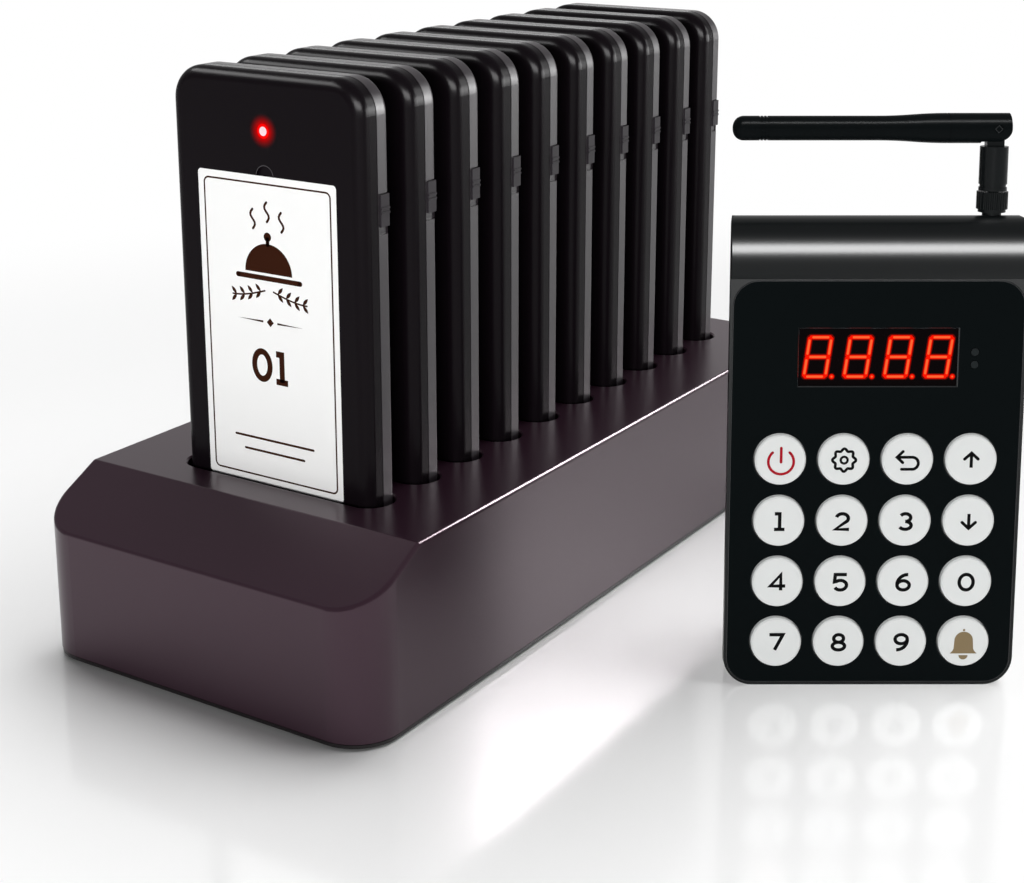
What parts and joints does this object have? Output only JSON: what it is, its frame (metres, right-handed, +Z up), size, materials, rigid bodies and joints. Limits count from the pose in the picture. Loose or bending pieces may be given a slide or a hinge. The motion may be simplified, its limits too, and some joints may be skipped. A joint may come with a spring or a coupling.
{
  "type": "guest pager system",
  "caption": "Charging dock with a row of slim pagers standing in its wells, beside a leaning keypad transmitter with a digit display, round keys and a folding antenna.",
  "frame": {"origin": "on the table top, in the middle of the footprint of the whole set", "axes": "+Z up, +X from the dock across to the keypad, +Y from the dock's front to its back; the pagers face -Y"},
  "size_m": [0.2504, 0.2712, 0.1744],
  "materials": {
    "dock_shell": "dark glossy moulded plastic",
    "dock_base": "fine textured plastic",
    "rubber_feet": "matt rubber",
    "screws": "zinc plated steel",
    "circuit_board": "solder mask",
    "socket": "black nylon",
    "pager_front": "polished black plastic",
    "pager_rear": "satin black plastic",
    "pager_switch": "moulded black plastic",
    "keypad_shell": "fine textured plastic",
    "keypad_face": "satin panel",
    "display": "dark red filter",
    "keys": "smooth off-white plastic",
    "antenna_metal": "black plated brass",
    "antenna_sleeve": "satin black sleeve"
  },
  "bodies": {
    "dock": {"dock_housing": "dock_shell", "dock_bottom_plate": "dock_base", "dock_feet": "rubber_feet", "dock_screws": "screws", "dock_contact_board": "circuit_board", "dock_power_socket": "socket"},
    "pager_01": {"pager_01_front_half": "pager_front", "pager_01_rear_half": "pager_rear"},
    "pager_01_switch": {"pager_01_switch": "pager_switch"},
    "pager_02": {"pager_02_front_half": "pager_front", "pager_02_rear_half": "pager_rear"},
    "pager_02_switch": {"pager_02_switch": "pager_switch"},
    "pager_03": {"pager_03_front_half": "pager_front", "pager_03_rear_half": "pager_rear"},
    "pager_03_switch": {"pager_03_switch": "pager_switch"},
    "pager_04": {"pager_04_front_half": "pager_front", "pager_04_rear_half": "pager_rear"},
    "pager_04_switch": {"pager_04_switch": "pager_switch"},
    "pager_05": {"pager_05_front_half": "pager_front", "pager_05_rear_half": "pager_rear"},
    "pager_05_switch": {"pager_05_switch": "pager_switch"},
    "pager_06": {"pager_06_front_half": "pager_front", "pager_06_rear_half": "pager_rear"},
    "pager_06_switch": {"pager_06_switch": "pager_switch"},
    "pager_07": {"pager_07_front_half": "pager_front", "pager_07_rear_half": "pager_rear"},
    "pager_07_switch": {"pager_07_switch": "pager_switch"},
    "pager_08": {"pager_08_front_half": "pager_front", "pager_08_rear_half": "pager_rear"},
    "pager_08_switch": {"pager_08_switch": "pager_switch"},
    "pager_09": {"pager_09_front_half": "pager_front", "pager_09_rear_half": "pager_rear"},
    "pager_09_switch": {"pager_09_switch": "pager_switch"},
    "pager_10": {"pager_10_front_half": "pager_front", "pager_10_rear_half": "pager_rear"},
    "pager_10_switch": {"pager_10_switch": "pager_switch"},
    "keypad": {"keypad_front_cover": "keypad_shell", "keypad_face_panel": "keypad_face", "keypad_rear_cover": "keypad_shell", "keypad_display_module": "display", "keypad_circuit_board": "circuit_board", "antenna_connector": "antenna_metal"},
    "key_power": {"key_power": "keys"},
    "key_settings": {"key_settings": "keys"},
    "key_return": {"key_return": "keys"},
    "key_up": {"key_up": "keys"},
    "key_1": {"key_1": "keys"},
    "key_2": {"key_2": "keys"},
    "key_3": {"key_3": "keys"},
    "key_down": {"key_down": "keys"},
    "key_4": {"key_4": "keys"},
    "key_5": {"key_5": "keys"},
    "key_6": {"key_6": "keys"},
    "key_0": {"key_0": "keys"},
    "key_7": {"key_7": "keys"},
    "key_8": {"key_8": "keys"},
    "key_9": {"key_9": "keys"},
    "key_call": {"key_call": "keys"},
    "antenna_swivel": {"antenna_swivel": "antenna_metal"},
    "antenna_arm": {"antenna_arm": "antenna_sleeve"}
  },
  "joints": [
    {"name": "pager_01_lift", "type": "slide", "parent": "dock", "child": "pager_01", "axis": [0, 0, 1], "range_m": [0, 0.06]},
    {"name": "pager_01_switch_slide", "type": "slide", "parent": "pager_01", "child": "pager_01_switch", "axis": [0, 0, -1], "range_m": [0, 0.002]},
    {"name": "pager_02_lift", "type": "slide", "parent": "dock", "child": "pager_02", "axis": [0, 0, 1], "range_m": [0, 0.06]},
    {"name": "pager_02_switch_slide", "type": "slide", "parent": "pager_02", "child": "pager_02_switch", "axis": [0, 0, -1], "range_m": [0, 0.002]},
    {"name": "pager_03_lift", "type": "slide", "parent": "dock", "child": "pager_03", "axis": [0, 0, 1], "range_m": [0, 0.06]},
    {"name": "pager_03_switch_slide", "type": "slide", "parent": "pager_03", "child": "pager_03_switch", "axis": [0, 0, -1], "range_m": [0, 0.002]},
    {"name": "pager_04_lift", "type": "slide", "parent": "dock", "child": "pager_04", "axis": [0, 0, 1], "range_m": [0, 0.06]},
    {"name": "pager_04_switch_slide", "type": "slide", "parent": "pager_04", "child": "pager_04_switch", "axis": [0, 0, -1], "range_m": [0, 0.002]},
    {"name": "pager_05_lift", "type": "slide", "parent": "dock", "child": "pager_05", "axis": [0, 0, 1], "range_m": [0, 0.06]},
    {"name": "pager_05_switch_slide", "type": "slide", "parent": "pager_05", "child": "pager_05_switch", "axis": [0, 0, -1], "range_m": [0, 0.002]},
    {"name": "pager_06_lift", "type": "slide", "parent": "dock", "child": "pager_06", "axis": [0, 0, 1], "range_m": [0, 0.06]},
    {"name": "pager_06_switch_slide", "type": "slide", "parent": "pager_06", "child": "pager_06_switch", "axis": [0, 0, -1], "range_m": [0, 0.002]},
    {"name": "pager_07_lift", "type": "slide", "parent": "dock", "child": "pager_07", "axis": [0, 0, 1], "range_m": [0, 0.06]},
    {"name": "pager_07_switch_slide", "type": "slide", "parent": "pager_07", "child": "pager_07_switch", "axis": [0, 0, -1], "range_m": [0, 0.002]},
    {"name": "pager_08_lift", "type": "slide", "parent": "dock", "child": "pager_08", "axis": [0, 0, 1], "range_m": [0, 0.06]},
    {"name": "pager_08_switch_slide", "type": "slide", "parent": "pager_08", "child": "pager_08_switch", "axis": [0, 0, -1], "range_m": [0, 0.002]},
    {"name": "pager_09_lift", "type": "slide", "parent": "dock", "child": "pager_09", "axis": [0, 0, 1], "range_m": [0, 0.06]},
    {"name": "pager_09_switch_slide", "type": "slide", "parent": "pager_09", "child": "pager_09_switch", "axis": [0, 0, -1], "range_m": [0, 0.002]},
    {"name": "pager_10_lift", "type": "slide", "parent": "dock", "child": "pager_10", "axis": [0, 0, 1], "range_m": [0, 0.06]},
    {"name": "pager_10_switch_slide", "type": "slide", "parent": "pager_10", "child": "pager_10_switch", "axis": [0, 0, -1], "range_m": [0, 0.002]},
    {"name": "keypad_lift", "type": "slide", "parent": "dock", "child": "keypad", "axis": [0, 0, 1], "range_m": [0, 0.06]},
    {"name": "key_power_press", "type": "slide", "parent": "keypad", "child": "key_power", "axis": [-0.5411, 0.8364, -0.0872], "range_m": [0, 0.0008], "stiffness_N_per_m": 400, "springref_m": -0.0005},
    {"name": "key_settings_press", "type": "slide", "parent": "keypad", "child": "key_settings", "axis": [-0.5411, 0.8364, -0.0872], "range_m": [0, 0.0008], "stiffness_N_per_m": 400, "springref_m": -0.0005},
    {"name": "key_return_press", "type": "slide", "parent": "keypad", "child": "key_return", "axis": [-0.5411, 0.8364, -0.0872], "range_m": [0, 0.0008], "stiffness_N_per_m": 400, "springref_m": -0.0005},
    {"name": "key_up_press", "type": "slide", "parent": "keypad", "child": "key_up", "axis": [-0.5411, 0.8364, -0.0872], "range_m": [0, 0.0008], "stiffness_N_per_m": 400, "springref_m": -0.0005},
    {"name": "key_1_press", "type": "slide", "parent": "keypad", "child": "key_1", "axis": [-0.5411, 0.8364, -0.0872], "range_m": [0, 0.0008], "stiffness_N_per_m": 400, "springref_m": -0.0005},
    {"name": "key_2_press", "type": "slide", "parent": "keypad", "child": "key_2", "axis": [-0.5411, 0.8364, -0.0872], "range_m": [0, 0.0008], "stiffness_N_per_m": 400, "springref_m": -0.0005},
    {"name": "key_3_press", "type": "slide", "parent": "keypad", "child": "key_3", "axis": [-0.5411, 0.8364, -0.0872], "range_m": [0, 0.0008], "stiffness_N_per_m": 400, "springref_m": -0.0005},
    {"name": "key_down_press", "type": "slide", "parent": "keypad", "child": "key_down", "axis": [-0.5411, 0.8364, -0.0872], "range_m": [0, 0.0008], "stiffness_N_per_m": 400, "springref_m": -0.0005},
    {"name": "key_4_press", "type": "slide", "parent": "keypad", "child": "key_4", "axis": [-0.5411, 0.8364, -0.0872], "range_m": [0, 0.0008], "stiffness_N_per_m": 400, "springref_m": -0.0005},
    {"name": "key_5_press", "type": "slide", "parent": "keypad", "child": "key_5", "axis": [-0.5411, 0.8364, -0.0872], "range_m": [0, 0.0008], "stiffness_N_per_m": 400, "springref_m": -0.0005},
    {"name": "key_6_press", "type": "slide", "parent": "keypad", "child": "key_6", "axis": [-0.5411, 0.8364, -0.0872], "range_m": [0, 0.0008], "stiffness_N_per_m": 400, "springref_m": -0.0005},
    {"name": "key_0_press", "type": "slide", "parent": "keypad", "child": "key_0", "axis": [-0.5411, 0.8364, -0.0872], "range_m": [0, 0.0008], "stiffness_N_per_m": 400, "springref_m": -0.0005},
    {"name": "key_7_press", "type": "slide", "parent": "keypad", "child": "key_7", "axis": [-0.5411, 0.8364, -0.0872], "range_m": [0, 0.0008], "stiffness_N_per_m": 400, "springref_m": -0.0005},
    {"name": "key_8_press", "type": "slide", "parent": "keypad", "child": "key_8", "axis": [-0.5411, 0.8364, -0.0872], "range_m": [0, 0.0008], "stiffness_N_per_m": 400, "springref_m": -0.0005},
    {"name": "key_9_press", "type": "slide", "parent": "keypad", "child": "key_9", "axis": [-0.5411, 0.8364, -0.0872], "range_m": [0, 0.0008], "stiffness_N_per_m": 400, "springref_m": -0.0005},
    {"name": "key_call_press", "type": "slide", "parent": "keypad", "child": "key_call", "axis": [-0.5411, 0.8364, -0.0872], "range_m": [0, 0.0008], "stiffness_N_per_m": 400, "springref_m": -0.0005},
    {"name": "antenna_swivel_turn", "type": "hinge", "parent": "keypad", "child": "antenna_swivel", "pos_m": [0.10613, 0.01446, 0.14085], "axis": [-0.0473, 0.0732, 0.9962], "continuous": true},
    {"name": "antenna_tilt", "type": "hinge", "parent": "antenna_swivel", "child": "antenna_arm", "pos_m": [0.1053, 0.01573, 0.15821], "axis": [-0.5411, 0.8364, -0.0872], "range_deg": [0, 90]}
  ]
}
